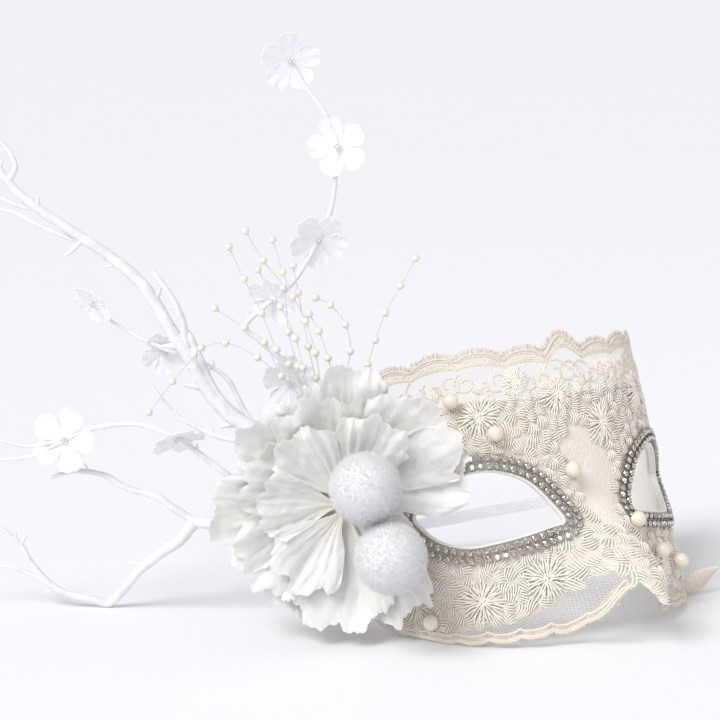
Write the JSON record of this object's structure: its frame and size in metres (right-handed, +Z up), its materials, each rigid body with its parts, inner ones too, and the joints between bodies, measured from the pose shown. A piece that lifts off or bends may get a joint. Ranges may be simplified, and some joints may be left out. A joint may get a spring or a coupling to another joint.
{
  "type": "venetian masquerade mask",
  "caption": "Lace-covered half mask with stone-edged eye holes, a silk flower with pompoms at one temple, and a spray of white branches, blossoms and pearl stems.",
  "frame": {"origin": "middle of the base of the bounding box, on the surface that the mask stands on, the strap left out", "axes": "+Z up; the mask faces -Y and +X is the wearer's left, so the branches reach towards -X and +Y"},
  "size_m": [0.3011, 0.2203, 0.2455],
  "materials": {
    "ivory_base": "matt, fine pebbled grain",
    "felt": "matt felt",
    "lace": "embroidered lace, silky thread",
    "pearl": "pearly gloss",
    "cup_metal": "bright plated metal",
    "stone": "faceted clear glass with a foiled back",
    "elastic": "ribbed flat elastic",
    "petal_silk": "thin crinkled silk",
    "pompom_fluff": "fuzzy yarn",
    "binding_tape": "wrapped paper tape",
    "painted_twig": "matt white paint over bark",
    "blossom_cloth": "thin translucent cloth",
    "clear_stem": "clear filament"
  },
  "bodies": {
    "root": {"mask_base": "ivory_base", "inner_lining": "felt", "flower_pad": "felt", "right_strap_tab": "felt", "left_strap_tab": "felt", "lace_cover": "lace", "upper_lace": "lace", "right_lower_lace": "lace", "left_lower_lace": "lace", "face_pearls": "pearl", "right_eye_cups": "cup_metal", "left_eye_cups": "cup_metal", "right_eye_stones": "stone", "left_eye_stones": "stone", "back_petals": "petal_silk", "middle_petals": "petal_silk", "front_petals": "petal_silk", "upper_pompom": "pompom_fluff", "lower_pompom": "pompom_fluff", "branch_binding": "binding_tape", "blossom_stem": "binding_tape", "main_branch": "painted_twig", "thin_twig": "painted_twig", "short_twig": "painted_twig", "arching_branch": "painted_twig", "forked_branch": "painted_twig", "blossom_1": "blossom_cloth", "blossom_2": "blossom_cloth", "blossom_3": "blossom_cloth", "blossom_4": "blossom_cloth", "blossom_5": "blossom_cloth", "blossom_6": "blossom_cloth", "blossom_7": "blossom_cloth", "blossom_8": "blossom_cloth", "blossom_9": "blossom_cloth"},
    "outer_sprays": {"spray_stem_1": "clear_stem", "spray_stem_9": "clear_stem", "spray_stem_10": "clear_stem", "spray_pearls_1": "pearl", "spray_pearls_9": "pearl", "spray_pearls_10": "pearl"},
    "middle_sprays": {"spray_stem_2": "clear_stem", "spray_stem_3": "clear_stem", "spray_stem_4": "clear_stem", "spray_stem_5": "clear_stem", "spray_stem_6": "clear_stem", "spray_stem_7": "clear_stem", "spray_pearls_2": "pearl", "spray_pearls_3": "pearl", "spray_pearls_4": "pearl", "spray_pearls_5": "pearl", "spray_pearls_6": "pearl", "spray_pearls_7": "pearl"},
    "inner_spray": {"spray_stem_8": "clear_stem", "spray_pearls_8": "pearl"},
    "strap": {"elastic_strap": "elastic"}
  },
  "joints": [
    {"name": "strap_swing", "type": "hinge", "parent": "root", "child": "strap", "pos_m": [0.0647, 0.00507, 0.03368], "axis": [1, 0, 0], "range_deg": [0, 45]},
    {"name": "outer_sprays_sway", "type": "hinge", "parent": "root", "child": "outer_sprays", "pos_m": [-0.01867, -0.00927, 0.0671], "axis": [0.5592, 0.829, 0], "range_deg": [-6, 6], "stiffness_Nm_per_rad": 0.02},
    {"name": "middle_sprays_sway", "type": "hinge", "parent": "root", "child": "middle_sprays", "pos_m": [-0.02314, -0.01591, 0.0671], "axis": [0.5592, 0.829, 0], "range_deg": [-6, 6], "stiffness_Nm_per_rad": 0.02},
    {"name": "inner_spray_sway", "type": "hinge", "parent": "root", "child": "inner_spray", "pos_m": [-0.02426, -0.01757, 0.0671], "axis": [0.5592, 0.829, 0], "range_deg": [-6, 6], "stiffness_Nm_per_rad": 0.02}
  ]
}
